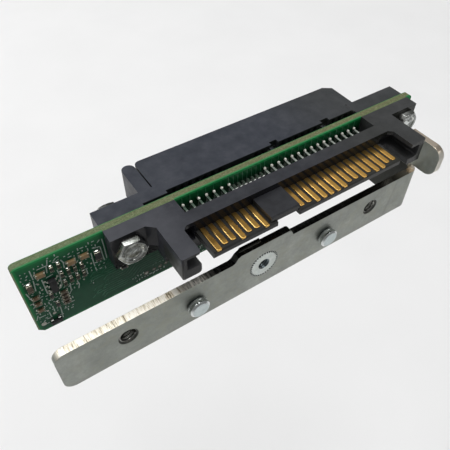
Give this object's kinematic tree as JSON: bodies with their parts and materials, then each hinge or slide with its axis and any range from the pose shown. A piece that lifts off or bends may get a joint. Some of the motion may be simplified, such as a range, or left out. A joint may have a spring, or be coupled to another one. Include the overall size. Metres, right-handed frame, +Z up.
{
  "type": "drive_adapter_board",
  "caption": "Circuit board on edge with a contact plug on its front, a receptacle on its back and a folded steel bracket with tapped holes and locating pins.",
  "frame": {"origin": "on the axis of the bracket's centre thread, at the strip's front face", "axes": "+X along the board toward the power end, +Y from the plug side to the receptacle side, +Z up to the board's top edge"},
  "size_m": [0.0681, 0.0212, 0.0171],
  "materials": {
    "board_laminate": "glossy green solder mask over glass-fibre laminate",
    "housing_plastic": "fine-textured charcoal moulding",
    "contact_gold": "gold-plated, satin",
    "bracket_steel": "zinc-plated sheet, matt and mottled",
    "fastener_zinc": "bright zinc plate",
    "pin_steel": "turned and plated",
    "ceramic_tan": "tan ceramic with tinned ends",
    "ceramic_brown": "brown ceramic with tinned ends",
    "resistor_black": "black glaze with tinned ends",
    "chip_epoxy": "moulded epoxy, matt"
  },
  "bodies": {
    "root": {"circuit_board": "board_laminate", "plug_housing": "housing_plastic", "receptacle_housing": "housing_plastic", "plug_signal_contacts": "contact_gold", "plug_power_contacts": "contact_gold", "plug_secondary_contacts": "contact_gold", "receptacle_signal_contacts": "contact_gold", "receptacle_power_contacts": "contact_gold", "receptacle_secondary_contacts": "contact_gold", "clamp_screws": "fastener_zinc", "clamp_nuts": "fastener_zinc", "bracket_screws": "fastener_zinc", "mounting_bracket": "bracket_steel", "locating_pins": "pin_steel", "centre_clinch_nut": "pin_steel", "bulk_capacitors": "ceramic_tan", "tall_capacitor": "ceramic_brown", "coupling_capacitors": "ceramic_brown", "filter_capacitors": "ceramic_brown", "edge_capacitors": "ceramic_tan", "chip_resistors": "resistor_black", "sense_resistor": "resistor_black", "logic_chip": "chip_epoxy", "switch_transistor": "chip_epoxy", "multiplexer_chip": "chip_epoxy"}
  },
  "joints": []
}
